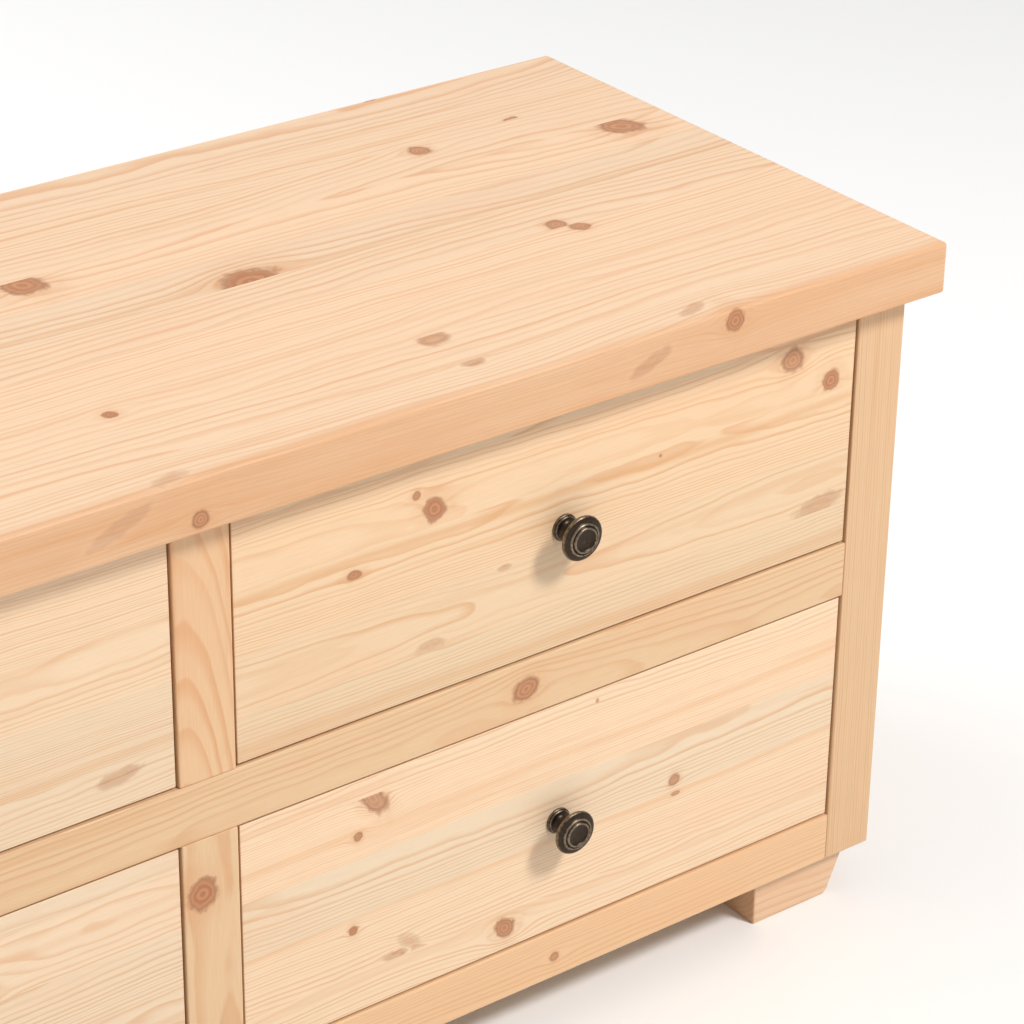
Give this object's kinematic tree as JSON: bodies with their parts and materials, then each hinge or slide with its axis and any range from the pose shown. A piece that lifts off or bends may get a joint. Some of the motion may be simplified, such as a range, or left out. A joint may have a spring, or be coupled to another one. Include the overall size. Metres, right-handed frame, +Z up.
{
  "type": "dresser with drawers",
  "caption": "Low pine dresser with a thick overhanging top, flush face frame, inset drawers with round bronze knobs and block feet.",
  "frame": {"origin": "on the floor, under the middle of the whole piece (knobs included)", "axes": "+X to the right as seen from the front, +Y to the back, +Z up; the drawers open towards -Y"},
  "size_m": [1.28, 0.4906, 0.571],
  "materials": {
    "pine_top": "clear waxed edge-glued pine",
    "pine_frame": "clear waxed pine",
    "pine_drawer_front": "clear waxed edge-glued pine",
    "pine_carcase": "planed pine",
    "pine_drawer_box": "planed unfinished pine",
    "plywood": "sanded birch plywood",
    "beech": "planed beech",
    "antique_bronze": "dark antique patina, worn brighter on the raised rings",
    "zinc_steel": "bright zinc plate"
  },
  "bodies": {
    "carcase": {"top_panel": "pine_top", "stile_left": "pine_frame", "stile_right": "pine_frame", "centre_stile_upper": "pine_frame", "centre_stile_lower": "pine_frame", "middle_rail": "pine_frame", "bottom_rail": "pine_frame", "frame_dowels": "beech", "side_panel_left": "pine_carcase", "side_panel_right": "pine_carcase", "partition": "pine_carcase", "bottom_board": "pine_carcase", "back_panel": "plywood", "top_rail_front": "pine_carcase", "top_rail_back": "pine_carcase", "top_screws": "zinc_steel", "back_screws": "zinc_steel", "drawer_guides": "pine_carcase", "drawer_stops": "beech", "foot_screws": "zinc_steel", "runner_lower_left_outer": "pine_carcase", "runner_lower_left_inner": "pine_carcase", "runner_lower_right_outer": "pine_carcase", "runner_lower_right_inner": "pine_carcase", "runner_upper_left_outer": "pine_carcase", "runner_upper_left_inner": "pine_carcase", "runner_upper_right_outer": "pine_carcase", "runner_upper_right_inner": "pine_carcase", "foot_front_left": "pine_carcase", "foot_front_right": "pine_carcase", "foot_back_left": "pine_carcase", "foot_back_right": "pine_carcase"},
    "drawer_lower_left": {"lower_left_front": "pine_drawer_front", "lower_left_side_left": "pine_drawer_box", "lower_left_side_right": "pine_drawer_box", "lower_left_back": "pine_drawer_box", "lower_left_base": "plywood", "lower_left_knob": "antique_bronze", "lower_left_knob_screw": "zinc_steel"},
    "drawer_lower_right": {"lower_right_front": "pine_drawer_front", "lower_right_side_left": "pine_drawer_box", "lower_right_side_right": "pine_drawer_box", "lower_right_back": "pine_drawer_box", "lower_right_base": "plywood", "lower_right_knob": "antique_bronze", "lower_right_knob_screw": "zinc_steel"},
    "drawer_upper_left": {"upper_left_front": "pine_drawer_front", "upper_left_side_left": "pine_drawer_box", "upper_left_side_right": "pine_drawer_box", "upper_left_back": "pine_drawer_box", "upper_left_base": "plywood", "upper_left_knob": "antique_bronze", "upper_left_knob_screw": "zinc_steel"},
    "drawer_upper_right": {"upper_right_front": "pine_drawer_front", "upper_right_side_left": "pine_drawer_box", "upper_right_side_right": "pine_drawer_box", "upper_right_back": "pine_drawer_box", "upper_right_base": "plywood", "upper_right_knob": "antique_bronze", "upper_right_knob_screw": "zinc_steel"}
  },
  "joints": [
    {"name": "slide_lower_left", "type": "slide", "parent": "carcase", "child": "drawer_lower_left", "axis": [0, -1, 0], "range_m": [0, 0.3]},
    {"name": "slide_lower_right", "type": "slide", "parent": "carcase", "child": "drawer_lower_right", "axis": [0, -1, 0], "range_m": [0, 0.3]},
    {"name": "slide_upper_left", "type": "slide", "parent": "carcase", "child": "drawer_upper_left", "axis": [0, -1, 0], "range_m": [0, 0.3]},
    {"name": "slide_upper_right", "type": "slide", "parent": "carcase", "child": "drawer_upper_right", "axis": [0, -1, 0], "range_m": [0, 0.3]}
  ]
}
